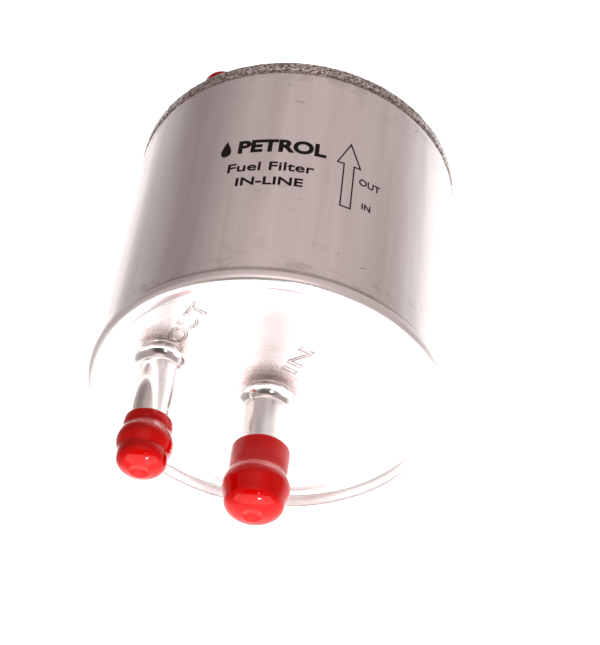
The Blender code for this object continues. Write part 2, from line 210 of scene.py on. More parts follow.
def lathe(name, outline, turns, material, x=0.0, z=0.0, warp=None, closed=True, sharp=SHARP_DEGREES):
    """Turns an outline about the can's axis or one beside it. warp(angle, radius, station) moves a point."""
    build = bmesh.new()
    rings = []
    for radius, station in outline:
        if radius < 1e-7:
            rings.append([build.verts.new(at(x, station, z))])
            continue
        ring = []
        for k in range(turns):
            angle = 2 * math.pi * k / turns
            r, s = (radius, station) if warp is None else warp(angle, radius, station)
            ring.append(build.verts.new(at(x + r * math.sin(angle), s, z + r * math.cos(angle))))
        rings.append(ring)
    pairs = list(zip(rings, rings[1:]))
    if closed:
        pairs.append((rings[-1], rings[0]))
    for one, two in pairs:
        if len(one) + len(two) == 2:
            continue
        for k in range(turns):
            j = (k + 1) % turns
            if len(one) == 1:
                build.faces.new((one[0], two[j], two[k]))
            elif len(two) == 1:
                build.faces.new((one[k], one[j], two[0]))
            else:
                build.faces.new((one[k], one[j], two[j], two[k]))
    bmesh.ops.recalc_face_normals(build, faces=build.faces)
    mesh = bpy.data.meshes.new(name)
    build.to_mesh(mesh)
    build.free()
    return new_object(name, mesh, material, sharp)


def ripple(angle, station, around, along, seed):
    """Smooth noise from -1 to 1 on a cylinder, without a seam."""
    return noise.noise(Vector((
        math.sin(angle) * around, math.cos(angle) * around, station * along + seed,
    )))


# ---------------------------------------------------------------- node helpers
def blank(name):
    """A new node material, and its tree and shader."""
    material = bpy.data.materials.new(name)
    material.use_nodes = True
    tree = material.node_tree
    return material, tree, tree.nodes["Principled BSDF"]


def put(tree, kind, **settings):
    """A node with its properties set."""
    node = tree.nodes.new(kind)
    for key, value in settings.items():
        setattr(node, key, value)
    return node


def maths(tree, operation, a, b=None):
    """A Math node on sockets or numbers."""
    node = put(tree, "ShaderNodeMath", operation=operation)
    for slot, value in zip(node.inputs, (a, b)):
        if value is None:
            continue
        if isinstance(value, (int, float)):
            slot.default_value = value
        else:
            tree.links.new(value, slot)
    return node.outputs[0]


def fade(tree, value, low, high, to_low=0.0, to_high=1.0):
    """Smooth step of a value."""
    node = put(tree, "ShaderNodeMapRange", interpolation_type="SMOOTHSTEP")
    tree.links.new(value, node.inputs["Value"])
    for key, number in (("From Min", low), ("From Max", high), ("To Min", to_low), ("To Max", to_high)):
        node.inputs[key].default_value = number
    return node.outputs["Result"]


def blend(tree, share, one, two):
    """Mixes two colours, each a socket or an RGB triple."""
    node = put(tree, "ShaderNodeMix", data_type="RGBA")
    tree.links.new(share, node.inputs[0])
    for slot, value in ((node.inputs[6], one), (node.inputs[7], two)):
        if isinstance(value, tuple):
            slot.default_value = (*value, 1)
        else:
            tree.links.new(value, slot)
    return node.outputs[2]


def place_of(tree):
    """The point in the piece's own space, in metres."""
    return put(tree, "ShaderNodeTexCoord").outputs["Object"]


def stretched(tree, scale):
    """The point, scaled on each axis."""
    node = put(tree, "ShaderNodeMapping")
    tree.links.new(place_of(tree), node.inputs["Vector"])
    node.inputs["Scale"].default_value = scale
    return node.outputs["Vector"]


def speckle(tree, scale, detail=3.0, roughness=0.5, distortion=0.0):
    """Noise from 0 to 1, with a scale in features per metre, the same or different on each axis."""
    scales = (scale,) * 3 if isinstance(scale, (int, float)) else scale
    node = put(tree, "ShaderNodeTexNoise")
    tree.links.new(stretched(tree, scales), node.inputs["Vector"])
    for key, number in (("Scale", 1.0), ("Detail", detail), ("Roughness", roughness),
                        ("Distortion", distortion)):
        node.inputs[key].default_value = number
    return node.outputs["Fac"]


def station_of(tree):
    """The station of a point, in metres."""
    split = put(tree, "ShaderNodeSeparateXYZ")
    tree.links.new(place_of(tree), split.inputs[0])
    return maths(tree, "SUBTRACT", split.outputs["Y"], CREST_Y)


def ring_distance(tree, x, z):
    """Distance of a point from an axis beside the can's own."""
    split = put(tree, "ShaderNodeSeparateXYZ")
    tree.links.new(place_of(tree), split.inputs[0])
    dx = maths(tree, "SUBTRACT", split.outputs["X"], AXIS_X + x)
    dz = maths(tree, "SUBTRACT", split.outputs["Z"], AXIS_Z + z)
    square = maths(tree, "ADD", maths(tree, "MULTIPLY", dx, dx), maths(tree, "MULTIPLY", dz, dz))
    return maths(tree, "SQRT", square)


def turned_lines(tree, distance, scale):
    """Noise that changes with one distance only, like turned or spun lines."""
    node = put(tree, "ShaderNodeTexNoise", noise_dimensions="1D")
    tree.links.new(maths(tree, "MULTIPLY", distance, scale), node.inputs["W"])
    node.inputs["Scale"].default_value = 1.0
    node.inputs["Detail"].default_value = 3.0
    return node.outputs["Fac"]


def bumped(tree, shader, layers):
    """Adds bump layers of (height socket, depth in metres), the first one deepest in the chain."""
    normal = None
    for height, depth in layers:
        node = put(tree, "ShaderNodeBump")
        node.inputs["Strength"].default_value = 1.0
        node.inputs["Distance"].default_value = depth
        tree.links.new(height, node.inputs["Height"])
        if normal is not None:
            tree.links.new(normal, node.inputs["Normal"])
        normal = node.outputs["Normal"]
    tree.links.new(normal, shader.inputs["Normal"])


# ---------------------------------------------------------------- finishes
def drawn_aluminium():
    """Satin drawn can wall: lengthwise streaks, scuffs, stains by the seams, painted shade in the crease by
    the bead, and a flecked crimp with painted shade in its groove and on its outer lip.
    """
    material, tree, shader = blank("drawn_aluminium")
    shader.inputs["Metallic"].default_value = 1.0
    station = station_of(tree)
    streak = speckle(tree, (420, 9, 420), 5.0, 0.62)
    fine = speckle(tree, (1700, 30, 1700), 3.0)
    cloud = speckle(tree, 55, 4.0, 0.6)
    near_bead = fade(tree, station, 17 * MM, 4 * MM)
    near_crimp = fade(tree, station, 54.5 * MM, 65.5 * MM)
    in_crimp = fade(tree, station, 65.0 * MM, 65.8 * MM)
    broad = speckle(tree, (95, 7, 95), 3.0, 0.55)
    tone = blend(tree, fade(tree, streak, 0.30, 0.72), (0.86, 0.835, 0.83), (0.92, 0.90, 0.895))
    tone = blend(tree, fade(tree, broad, 0.46, 0.66, 0.0, 0.60), tone, (0.68, 0.645, 0.64))
    tone = blend(tree, fade(tree, fine, 0.62, 0.80, 0.0, 0.20), tone, (0.70, 0.66, 0.65))
    patch = maths(tree, "MULTIPLY", fade(tree, speckle(tree, (150, 260, 150), 5.0, 0.65), 0.50, 0.66),
                  maths(tree, "MAXIMUM", near_bead, maths(tree, "MULTIPLY", near_crimp, 0.8)))
    tone = blend(tree, maths(tree, "MULTIPLY", patch, 0.42), tone, (0.42, 0.38, 0.37))
    scuff = maths(tree, "MULTIPLY", fade(tree, speckle(tree, (420, 900, 420), 6.0, 0.6, 0.6), 0.645, 0.70),
                  fade(tree, speckle(tree, 70, 2.0), 0.52, 0.62))
    tone = blend(tree, maths(tree, "MULTIPLY", scuff, 0.65), tone, (0.14, 0.11, 0.10))
    # Painted shade: the wall darkens in the crease next to the inlet bead.
    crease_shade = fade(tree, station, 5.0 * MM, 4.2 * MM)
    tone = blend(tree, maths(tree, "MULTIPLY", crease_shade, 0.6), tone, (0.30, 0.26, 0.25))
    fleck = fade(tree, speckle(tree, (1500, 3200, 1500), 4.0, 0.6), 0.58, 0.44)
    # Painted shade: darker in the crimp's groove.
    valley = maths(tree, "MULTIPLY", in_crimp, fade(tree, station, GROOVE + 0.8 * MM, GROOVE + 0.3 * MM))
    valley = maths(tree, "MULTIPLY", valley, fade(tree, fleck, 0.0, 1.0, 0.55, 1.0))
    # Painted shade: darker on the crimp's rounded outer lip.
    edge = fade(tree, station, CAN_END - 0.9 * MM, CAN_END - 0.4 * MM)
    # Flecked dirt over the crimp, joined with the painted shade of its groove and lip, all in one dark brown.
    crimp_dirt_and_shade = maths(tree, "MULTIPLY", in_crimp, fade(tree, fleck, 0.0, 1.0, 0.0, 1.0))
    crimp_dirt_and_shade = maths(tree, "MAXIMUM", crimp_dirt_and_shade, maths(tree, "MAXIMUM", valley, maths(tree, "MULTIPLY", edge, 0.85)))
    tone = blend(tree, maths(tree, "MULTIPLY", crimp_dirt_and_shade, 0.92), tone, (0.15, 0.105, 0.085))
    tree.links.new(tone, shader.inputs["Base Color"])
    rough = maths(tree, "ADD", fade(tree, streak, 0.2, 0.8, 0.24, 0.30), maths(tree, "MULTIPLY", cloud, 0.08))
    rough = maths(tree, "ADD", rough, maths(tree, "MULTIPLY", patch, 0.12))
    tree.links.new(rough, shader.inputs["Roughness"])
    bumped(tree, shader, (
        (streak, 0.006 * MM),
        (fine, 0.003 * MM),
        (speckle(tree, 2600, 2.0), 0.0016 * MM),
    ))
    return material


def pressed_aluminium():
    """Pressed cover: grainy sunk panel with faint spun rings, and a smoother folded bead."""
    material, tree, shader = blank("pressed_aluminium")
    shader.inputs["Metallic"].default_value = 1.0
    radius = ring_distance(tree, 0, 0)
    rings = turned_lines(tree, radius, 1900)
    bead = fade(tree, radius, 31.0 * MM, 34.0 * MM)
    # Painted shade: dark where the back of the bead meets the can wall.
    seam = fade(tree, station_of(tree), 2.2 * MM, 2.7 * MM)
    seam = maths(tree, "MULTIPLY", seam, fade(tree, radius, 37.3 * MM, 37.6 * MM))
    grain = maths(tree, "MULTIPLY", speckle(tree, 2700, 2.0), fade(tree, bead, 0.0, 1.0, 1.0, 0.10))
    cloud = speckle(tree, 60, 3.0)
    tone = blend(tree, fade(tree, rings, 0.3, 0.7), (0.88, 0.85, 0.845), (0.95, 0.93, 0.925))
    tone = blend(tree, fade(tree, cloud, 0.58, 0.75, 0.0, 0.25), tone, (0.74, 0.70, 0.69))
    # Painted shade of the bead's seam.
    tone = blend(tree, maths(tree, "MULTIPLY", seam, 0.7), tone, (0.20, 0.17, 0.16))
    # Painted reflection: pink specks on the panel round the inlet and return pipes stand in for the red caps
    # reflected in it.
    near_inlet = fade(tree, radius, 19 * MM, 5 * MM)
    near_return = fade(tree, ring_distance(tree, *pipe_axis("return_stub")), 15 * MM, 4 * MM)
    painted_cap_reflection = maths(tree, "MULTIPLY", maths(tree, "MAXIMUM", near_inlet, near_return),
                 fade(tree, speckle(tree, 2100, 3.0, 0.7), 0.50, 0.60))
    painted_cap_reflection = maths(tree, "MULTIPLY", painted_cap_reflection, fade(tree, station_of(tree), 30 * MM, 20 * MM))
    tone = blend(tree, maths(tree, "MULTIPLY", painted_cap_reflection, 0.70), tone, (0.80, 0.42, 0.45))
    tree.links.new(tone, shader.inputs["Base Color"])
    smooth_part = fade(tree, bead, 0.0, 1.0, 0.10, 0.0)
    rough = maths(tree, "ADD", fade(tree, cloud, 0.3, 0.7, 0.26, 0.32), smooth_part)
    tree.links.new(rough, shader.inputs["Roughness"])
    bumped(tree, shader, ((rings, 0.0030 * MM), (grain, 0.034 * MM)))
    return material


def pipe_steel():
    """Bright satin pipe with fine lines round it, and painted shade on the short neck between its collar and
    the cover.
    """
    material, tree, shader = blank("satin_steel")
    shader.inputs["Metallic"].default_value = 1.0
    station = station_of(tree)
    lines = turned_lines(tree, station, 2600)
    cloud = speckle(tree, (260, 90, 260), 3.0)
    tone = blend(tree, fade(tree, cloud, 0.35, 0.7), (0.74, 0.71, 0.70), (0.88, 0.86, 0.85))
    # Painted shade: darker on the neck between the collar and the cover, at each end of the can.
    inlet_end = fade(tree, station, 0.6 * MM, 1.3 * MM)
    inlet_end = maths(tree, "MULTIPLY", inlet_end, fade(tree, station, 4.2 * MM, 4.0 * MM))
    outlet_end = fade(tree, station, OUTLET_PANEL + 2.6 * MM, OUTLET_PANEL + 1.9 * MM)
    outlet_end = maths(tree, "MULTIPLY", outlet_end, fade(tree, station, 40 * MM, 41 * MM))
    neck_shade = maths(tree, "MULTIPLY", maths(tree, "ADD", inlet_end, outlet_end), 0.45)
    tone = blend(tree, neck_shade, tone, (0.30, 0.23, 0.21))
    tree.links.new(tone, shader.inputs["Base Color"])
    tree.links.new(fade(tree, cloud, 0.3, 0.7, 0.14, 0.22), shader.inputs["Roughness"])
    bumped(tree, shader, ((lines, 0.0015 * MM), (speckle(tree, 700, 1.0), 0.0012 * MM)))
    return material


def dipped_vinyl():
    """Glossy red dipped vinyl with a slight orange peel."""
    material, tree, shader = blank("dipped_vinyl")
    cloud = speckle(tree, 160, 3.0)
    tone = blend(tree, fade(tree, cloud, 0.3, 0.7), (0.39, 0.0006, 0.0004), (0.47, 0.0014, 0.0010))
    tree.links.new(tone, shader.inputs["Base Color"])
    tree.links.new(fade(tree, speckle(tree, 420, 2.0), 0.3, 0.7, 0.07, 0.12), shader.inputs["Roughness"])
    shader.inputs["Specular IOR Level"].default_value = 0.34
    shader.inputs["Specular Tint"].default_value = (1.0, 0.55, 0.53, 1)
    bumped(tree, shader, ((speckle(tree, 300, 2.0), 0.030 * MM), (speckle(tree, 1100, 2.0), 0.004 * MM)))
    return material


def printing_ink():
    """Thin black pad print."""
    material, tree, shader = blank("printing_ink")
    wear = speckle(tree, 1400, 3.0)
    tone = blend(tree, fade(tree, wear, 0.35, 0.75), (0.004, 0.0035, 0.004), (0.012, 0.010, 0.010))
    tree.links.new(tone, shader.inputs["Base Color"])
    tree.links.new(fade(tree, wear, 0.3, 0.7, 0.50, 0.66), shader.inputs["Roughness"])
    shader.inputs["Specular IOR Level"].default_value = 0.15
    return material


def plated_steel(name, dark, light, scale):
    """Zinc-plated or spring steel with a crystalline grain."""
    material, tree, shader = blank(name)
    shader.inputs["Metallic"].default_value = 1.0
    grain = speckle(tree, scale, 4.0, 0.6)
    tree.links.new(blend(tree, fade(tree, grain, 0.3, 0.7), dark, light), shader.inputs["Base Color"])
    tree.links.new(fade(tree, grain, 0.3, 0.7, 0.28, 0.46), shader.inputs["Roughness"])
    bumped(tree, shader, ((grain, 0.006 * MM),))
    return material


def soft_solid(name, dark, light, scale, rough, depth):
    """Rubber, paper, resin or nylon: mottled, rough and slightly uneven."""
    material, tree, shader = blank(name)
    grain = speckle(tree, scale, 4.0, 0.6)
    tree.links.new(blend(tree, fade(tree, grain, 0.3, 0.7), dark, light), shader.inputs["Base Color"])
    tree.links.new(fade(tree, grain, 0.3, 0.7, rough - 0.08, rough + 0.08), shader.inputs["Roughness"])
    bumped(tree, shader, ((grain, depth),))
    return material


ALUMINIUM = drawn_aluminium()
COVER = pressed_aluminium()
STEEL = pipe_steel()
# Painted shade: the stamped letters are a darker metal than the cover they stand on, for the shade along
# their raised outlines.
STAMPED = plated_steel("stamped_edge", (0.30, 0.26, 0.26), (0.55, 0.50, 0.50), 1400)
VINYL = dipped_vinyl()
INK = printing_ink()
INNER_FINISHES = {
    "pipe_steel": STEEL,
    "zinc_steel": plated_steel("zinc_plate", (0.50, 0.51, 0.50), (0.68, 0.69, 0.67), 500),
    "spring_steel": plated_steel("spring_wire", (0.36, 0.36, 0.37), (0.55, 0.55, 0.55), 1200),
    "seal_rubber": soft_solid(
        "seal_rubber", (0.018, 0.018, 0.019), (0.040, 0.040, 0.041), 900, 0.6, 0.01 * MM,
    ),
    "paper": soft_solid(
        "pleated_paper", (0.60, 0.44, 0.20), (0.78, 0.61, 0.33), (700, 2600, 700), 0.85, 0.03 * MM,
    ),
    "adhesive": soft_solid("potting_resin", (0.28, 0.31, 0.24), (0.38, 0.41, 0.33), 260, 0.5, 0.02 * MM),
    "nylon": soft_solid("moulded_nylon", (0.74, 0.72, 0.64), (0.84, 0.82, 0.75), 300, 0.45, 0.01 * MM),
}


# ---------------------------------------------------------------- can and covers
def wall_rise(angle, station):
    """How far the drawn wall stands off its true radius: soft waves, and dents by the bead."""
    wave = 0.030 * MM * ripple(angle, station, 3.0, 60, 3.1)
    wave += 0.012 * MM * ripple(angle, station, 9.0, 160, 8.7)
    edge = math.exp(-((station - 5.5 * MM) / (3.0 * MM)) ** 2)
    return wave + 0.040 * MM * edge * ripple(angle, station, 6.0, 200, 5.2)


def can_warp(angle, radius, station):
    """The wall's waves, and the uneven rolling marks of the crimped edge."""
    if radius < CAN_RADIUS - 0.75 * MM and station < CRIMP_START:
        return radius, station
    rise = wall_rise(angle, station)
    rolled = min(1.0, max(0.0, (station - CRIMP_START) / (0.5 * MM)))
    if rolled > 0:
        rise += rolled * 0.11 * MM * ripple(angle, station, 44.0, 900, 1.3)
        rise += rolled * 0.07 * MM * ripple(angle, station, 90.0, 1600, 4.4)
        station += rolled * 0.07 * MM * ripple(angle, radius, 30.0, 500, 7.9)
    return radius + rise, station


def make_can():
    """Drawn wall with its rolled crimp, as one shell."""
    wall_in = CAN_RADIUS - SHEET
    neck = CAN_RADIUS - 0.35 * MM
    crimp = CAN_RADIUS + 0.1 * MM
    corners = [
        (neck, CAN_RIM, 0.1 * MM),
        (neck, 3.0 * MM, 0.3 * MM),
        (CAN_RADIUS, 3.5 * MM, 0.5 * MM),
        (CAN_RADIUS, CRIMP_START, 0.5 * MM),
        (CAN_RADIUS - 0.5 * MM, GROOVE, 0.25 * MM),
        (crimp, GROOVE + GROOVE_HALF, 0.4 * MM),
        (crimp, CAN_END, 1.0 * MM),
        (LIP_RADIUS, CAN_END, 0.3 * MM),
        (LIP_RADIUS, CAN_END - LIP_SHEET, 0.15 * MM),
        (wall_in, CAN_END - LIP_SHEET, 0),
        (wall_in, CRIMP_START, 0),
        (wall_in, CAN_RIM, 0),
    ]
    outline = divided(rounded(corners), 1.2 * MM)
    made = lathe("can_shell", outline, CAN_TURNS, ALUMINIUM, warp=can_warp)
    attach(made, "filter")
    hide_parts("can_body")


def cover_warp(angle, radius, station):
    """A slightly uneven folded bead."""
    if radius < CAN_RADIUS - 2 * MM:
        return radius, station
    return (radius + 0.035 * MM * ripple(angle, station, 14.0, 300, 2.6),
            station + 0.030 * MM * ripple(angle, radius, 18.0, 300, 6.1))


def make_inlet_cover():
    """Folded bead, rounded crest and sunk panel."""
    wall = CAN_RADIUS - SHEET - 1.1 * MM
    hook = CAN_RADIUS + 0.05 * MM
    hole = INLET_HOLE_RADIUS
    corners = [
        (hook, BEAD_HEIGHT, 0.2 * MM),
        (BEAD_RADIUS, BEAD_HEIGHT, 0.35 * MM),
        (BEAD_RADIUS, 0, BEAD_ROUND),
        (wall, 0, 0.8 * MM),
        (wall, RECESS, 0.9 * MM),
        (hole, RECESS, 0.2 * MM),
        (hole, RECESS + SHEET, 0.2 * MM),
        (wall + SHEET, RECESS + SHEET, 0.5 * MM),
        (wall + SHEET, 1.0 * MM, 0.3 * MM),
        (hook, 1.0 * MM, 0.2 * MM),
    ]
    outline = divided(rounded(corners, 8), 1.6 * MM)
    made = lathe("inlet_cover_shell", outline, CAN_TURNS, COVER, warp=cover_warp)
    x, z = pipe_axis("return_stub")
    drill(made, SMALL_HOLE_RADIUS, RECESS - 2 * MM, RECESS + 3 * MM, x, z)
    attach(made, "filter")
    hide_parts("inlet_cover")


def make_outlet_cover():
    """Pressed end under the crimp, with a stiffening ring in its sunk panel."""
    face = OUTLET_PANEL
    edge = CAN_END - 1.0 * MM
    rim = 35.9 * MM
    ring_top = face + 0.7 * MM
    corners = [
        (rim, edge, 0.1 * MM),
        (33.0 * MM, edge, 0.6 * MM),
        (32.3 * MM, face, 0.8 * MM),
        (15.5 * MM, face, 1.2 * MM),
        (14.5 * MM, ring_top, 1.2 * MM),
        (11.5 * MM, ring_top, 1.2 * MM),
        (10.5 * MM, face, 1.2 * MM),
        (0, face, 0),
        (0, face - SHEET, 0),
        (33.1 * MM, face - SHEET, 0.4 * MM),
        (33.8 * MM, edge - SHEET, 0.4 * MM),
        (rim, edge - SHEET, 0.1 * MM),
    ]
    outline = divided(rounded(corners, 6), 1.6 * MM)
    made = lathe("outlet_cover_shell", outline, COVER_TURNS, COVER)
    x, z = pipe_axis("outlet_stub")
    drill(made, SMALL_HOLE_RADIUS, face - 3 * MM, face + 3 * MM, x, z)
    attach(made, "filter")
    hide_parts("outlet_cover")


def drill(target, radius, start, end, x, z):
    """Cuts a round hole along Y, and applies the cut."""
    bpy.ops.mesh.primitive_cylinder_add(
        vertices=PIPE_TURNS, radius=radius, depth=end - start,
        location=at(x, (start + end) / 2, z), rotation=(math.pi / 2, 0, 0),
    )
    cutter = bpy.context.object
    step = target.modifiers.new("hole", "BOOLEAN")
    step.operation = "DIFFERENCE"
    step.solver = "EXACT"
    step.object = cutter
    bpy.context.view_layer.update()
    found = target.evaluated_get(bpy.context.evaluated_depsgraph_get())
    mesh = bpy.data.meshes.new_from_object(found)
    target.modifiers.clear()
    target.data = mesh
    mesh.set_sharp_from_angle(angle=math.radians(SHARP_DEGREES))
    bpy.data.objects.remove(cutter)


# ---------------------------------------------------------------- pipes
COLLAR_BACK = 2.8 * MM
COLLAR_EDGE = 0.42 * MM
FLARE_START = 0.46 * MM
FLARE_LENGTH = 2.4 * MM
FLARE_STEPS = 12
FLANGE_RADIUS = 6.0 * MM
FLANGE_SHEET = 0.8 * MM
PIPE_SHEET = 1.0 * MM


def make_pipe(node, name, radius, collar, panel, way):
    """A pipe with an inner flange, a thin flared collar off the cover and a rounded open end."""
    x, z = pipe_axis(node)
    low, high = stations(node)
    tip, root = (high, low) if way > 0 else (low, high)
    bore = radius - PIPE_SHEET
    back = panel + way * COLLAR_BACK
    flare = []
    for k in range(FLARE_STEPS + 1):
        share = k / FLARE_STEPS
        flare.append((
            radius + (collar - radius) * 0.86 * (1 - share) ** 2.4,
            back + way * (FLARE_START + FLARE_LENGTH * share),
            0,
        ))
    body = [
        (bore, root, 0.2 * MM),
        (FLANGE_RADIUS, root, 0.2 * MM),
        (FLANGE_RADIUS, root + way * FLANGE_SHEET, 0.2 * MM),
        (radius, root + way * FLANGE_SHEET, 0),
        (radius, back - way * 0.25 * MM, 0.35 * MM),
        (collar, back, 0.22 * MM),
        (collar, back + way * COLLAR_EDGE, 0.18 * MM),
    ]
    end = [
        (radius, tip - way * 0.8 * MM, 0.3 * MM),
        (radius - 0.5 * MM, tip, 0.25 * MM),
        (bore, tip, 0.2 * MM),
    ]
    outline = divided(rounded(body + flare + end, 5), 1.5 * MM)
    made = lathe(name, outline, PIPE_TURNS, STEEL, x, z, sharp=50)
    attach(made, "filter")
    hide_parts(node)


def make_weld(name, node, radius, panel, way):
    """Bead of braze between a pipe and its cover."""
    x, z = pipe_axis(node)
    size = 0.50 * MM
    sink = 0.1 * MM
    corners = [
        (radius - sink, panel - way * sink, 0),
        (radius + size, panel - way * sink, 0),
        (radius + size, panel + way * 0.08 * MM, 0.05 * MM),
        (radius + 0.30 * size, panel + way * 0.30 * size, 0.3 * MM),
        (radius + 0.04 * MM, panel + way * size, 0.05 * MM),
        (radius - sink, panel + way * size, 0),
    ]
    outline = divided(rounded(corners, 4), 0.4 * MM)

    def uneven(angle, r, s):
        return r + 0.05 * MM * ripple(angle, s, 5.0, 400, radius * 900), s

    made = lathe(name, outline, PIPE_TURNS, STEEL, x, z, warp=uneven)
    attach(made, "filter")


# ---------------------------------------------------------------- caps
# Outside of each cap from its mouth to its dome, as (share of the length, radius in mm).
WIDE_CAP = (
    (0.02, 6.10), (0.14, 6.12), (0.28, 6.07), (0.37, 6.00), (0.425, 6.08), (0.49, 6.66), (0.56, 6.95),
    (0.63, 6.92), (0.70, 6.64), (0.76, 6.36), (0.80, 6.20),
)
NARROW_CAP = (
    (0.02, 4.95), (0.12, 4.98), (0.19, 4.84), (0.235, 4.90), (0.30, 5.30), (0.38, 5.62), (0.46, 5.70),
    (0.55, 5.48), (0.62, 5.16), (0.67, 5.05), (0.72, 5.08), (0.77, 5.06),
)
# Dimple in each dome, as (radius, depth) in mm.
DIMPLE = ((2.1, 0.02), (1.75, 0.10), (1.35, 0.32), (0.9, 0.50), (0.45, 0.58), (0.0, 0.60))
DOME_STEPS = 13
DOME_END_RADIUS = 2.5 * MM
CAP_END = 2.0 * MM


def make_cap(node, name, body, shape, bore, way, seed):
    """Pull-off thimble: rolled mouth, swollen middle and a domed tip with a shallow dimple."""
    x, z = pipe_axis(node)
    low, high = stations(node)
    mouth, tip = (low, high) if way > 0 else (high, low)
    length = abs(tip - mouth)
    skin = smooth([(r * MM, mouth + way * share * length) for share, r in shape], 6)
    mouth_radius = skin[0][0]
    dome_radius, dome_start = skin[-1]
    dome = []
    for k in range(1, DOME_STEPS):
        t = math.radians(90 * k / DOME_STEPS)
        radius = dome_radius * math.cos(t) ** 0.84
        if radius > DOME_END_RADIUS:
            dome.append((radius, dome_start + way * abs(tip - dome_start) * math.sin(t)))
    dimple = [(r * MM, tip - way * depth * MM) for r, depth in DIMPLE]
    inner_end = tip - way * CAP_END
    mouth_edge = [
        (bore, mouth + way * 0.25 * MM), (bore + 0.10 * MM, mouth + way * 0.06 * MM),
        (bore + 0.30 * MM, mouth), (mouth_radius - 0.35 * MM, mouth),
        (mouth_radius - 0.10 * MM, mouth + way * 0.10 * MM),
    ]
    inside = [
        (0.0, inner_end), (bore * 0.6, inner_end), (bore * 0.9, inner_end - way * 0.4 * MM),
        (bore, inner_end - way * 1.2 * MM),
    ]
    outline = inside + [(bore, mouth + way * 1.0 * MM)] + mouth_edge + skin + dome + dimple
    outline = divided(outline, 0.6 * MM, closed=False)

    def soft(angle, r, s):
        if r <= bore + 0.02 * MM and abs(s - tip) > CAP_END - 0.1 * MM:
            return r, s
        along = abs(s - mouth) / length
        swell = 0.06 * MM * ripple(angle, s, 1.2, 160, seed)
        swell += 0.030 * MM * ripple(angle, s, 2.6, 420, seed + 3)
        sway = 0.05 * MM * along * math.cos(angle - seed)
        return r + (swell + sway) * min(1.0, r / (2 * MM)), s

    made = lathe(name, outline, PIPE_TURNS * 2, VINYL, x, z, warp=soft, closed=False, sharp=60)
    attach(made, body)
    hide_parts(node)


# ---------------------------------------------------------------- regulator spring
def make_regulator_spring():
    """Coil spring between the plate and the valve, with a closed turn at each end."""
    x, z = pipe_axis("regulator_spring")
    start, end = stations("regulator_spring")
    wire = 0.70 * MM
    radius = 2.4 * MM
    turns = 5
    per_turn = 48
    sides = 14
    closed = 1.15 * wire
    pitch = (end - start - wire - 2 * closed) / (turns - 2)
    forward = Vector((0, 1, 0))
    build = bmesh.new()
    rings = []
    for k in range(turns * per_turn + 1):
        turn = k / per_turn
        along = closed * min(turn, 1) + pitch * min(max(turn - 1, 0), turns - 2)
        along += closed * max(turn - turns + 1, 0)
        angle = 2 * math.pi * turn
        out = Vector((math.cos(angle), 0, math.sin(angle)))
        middle = at(x, start + wire / 2 + along, z) + out * radius
        ring = []
        for j in range(sides):
            spin = 2 * math.pi * j / sides
            away = out * math.cos(spin) + forward * math.sin(spin)
            ring.append(build.verts.new(middle + away * wire / 2))
        rings.append(ring)
    for one, two in zip(rings, rings[1:]):
        for j in range(sides):
            build.faces.new((one[j], one[j - 1], two[j - 1], two[j]))
    build.faces.new(rings[0])
    build.faces.new(rings[-1][::-1])
    bmesh.ops.recalc_face_normals(build, faces=build.faces)
    mesh = bpy.data.meshes.new("regulator_coil")
    build.to_mesh(mesh)
    build.free()
    made = new_object("regulator_coil", mesh, INNER_FINISHES["spring_steel"])
    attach(made, "filter")
    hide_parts("regulator_spring")
    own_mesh(made)


# ---------------------------------------------------------------- print and stamps
PRINT_LIFT = 0.030 * MM
PRINT_DEPTH = 0.060 * MM
PRINT_STRIP = 0.8 * MM


def bisected(mesh, spacing):
    """Cuts a flat mesh into strips across X, so that it can bend."""
    build = bmesh.new()
    build.from_mesh(mesh)
    bmesh.ops.remove_doubles(build, verts=build.verts, dist=1e-7)
    low = min(v.co.x for v in build.verts)
    high = max(v.co.x for v in build.verts)
    count = int((high - low) / spacing)
    for k in range(1, count + 1):
        everything = build.verts[:] + build.edges[:] + build.faces[:]
        bmesh.ops.bisect_plane(
            build, geom=everything, plane_co=(low + k * spacing, 0, 0), plane_no=(1, 0, 0), dist=1e-8,
        )
    build.to_mesh(mesh)
    build.free()


def wrapped(mesh, angle, station):
    """Bends a flat mesh round the can: X becomes arc length, Y the station, Z the height."""
    bisected(mesh, PRINT_STRIP)
    for vertex in mesh.vertices:
        x, y, z = vertex.co
        turn = angle + x / CAN_RADIUS
        s = station + y
        r = CAN_RADIUS + wall_rise(turn, s) + PRINT_LIFT + z
        vertex.co = at(r * math.sin(turn), s, r * math.cos(turn))


def mesh_from_curve(curve, name):
    """The mesh of a curve or text, and the curve is removed."""
    holder = bpy.data.objects.new(name, curve)
    bpy.context.scene.collection.objects.link(holder)
    bpy.context.view_layer.update()
    found = holder.evaluated_get(bpy.context.evaluated_depsgraph_get())
    mesh = bpy.data.meshes.new_from_object(found)
    bpy.data.objects.remove(holder)
    return mesh


def text_mesh(name, body, height, width, weight):
    """Block letters of a given cap height and total width, standing on y = 0 and starting at x = 0."""
    curve = bpy.data.curves.new(name, "FONT")
    curve.body = body
    curve.size = 1.0
    curve.offset = weight
    curve.resolution_u = 6
    curve.fill_mode = "BOTH"
    curve.extrude = 0.5
    mesh = mesh_from_curve(curve, name)
    low_x = min(v.co.x for v in mesh.vertices)
    high_x = max(v.co.x for v in mesh.vertices)
    low_y = min(v.co.y for v in mesh.vertices)
    high_y = max(v.co.y for v in mesh.vertices)
    for vertex in mesh.vertices:
        vertex.co.x = (vertex.co.x - low_x) * width / (high_x - low_x)
        vertex.co.y = (vertex.co.y - low_y) * height / (high_y - low_y)
        vertex.co.z = vertex.co.z * PRINT_DEPTH
    return mesh


def print_piece(mesh, name):
    """Puts a wrapped print on the can."""
    mesh.materials.clear()
    made = new_object(name, mesh, INK, 60)
    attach(made, "filter")


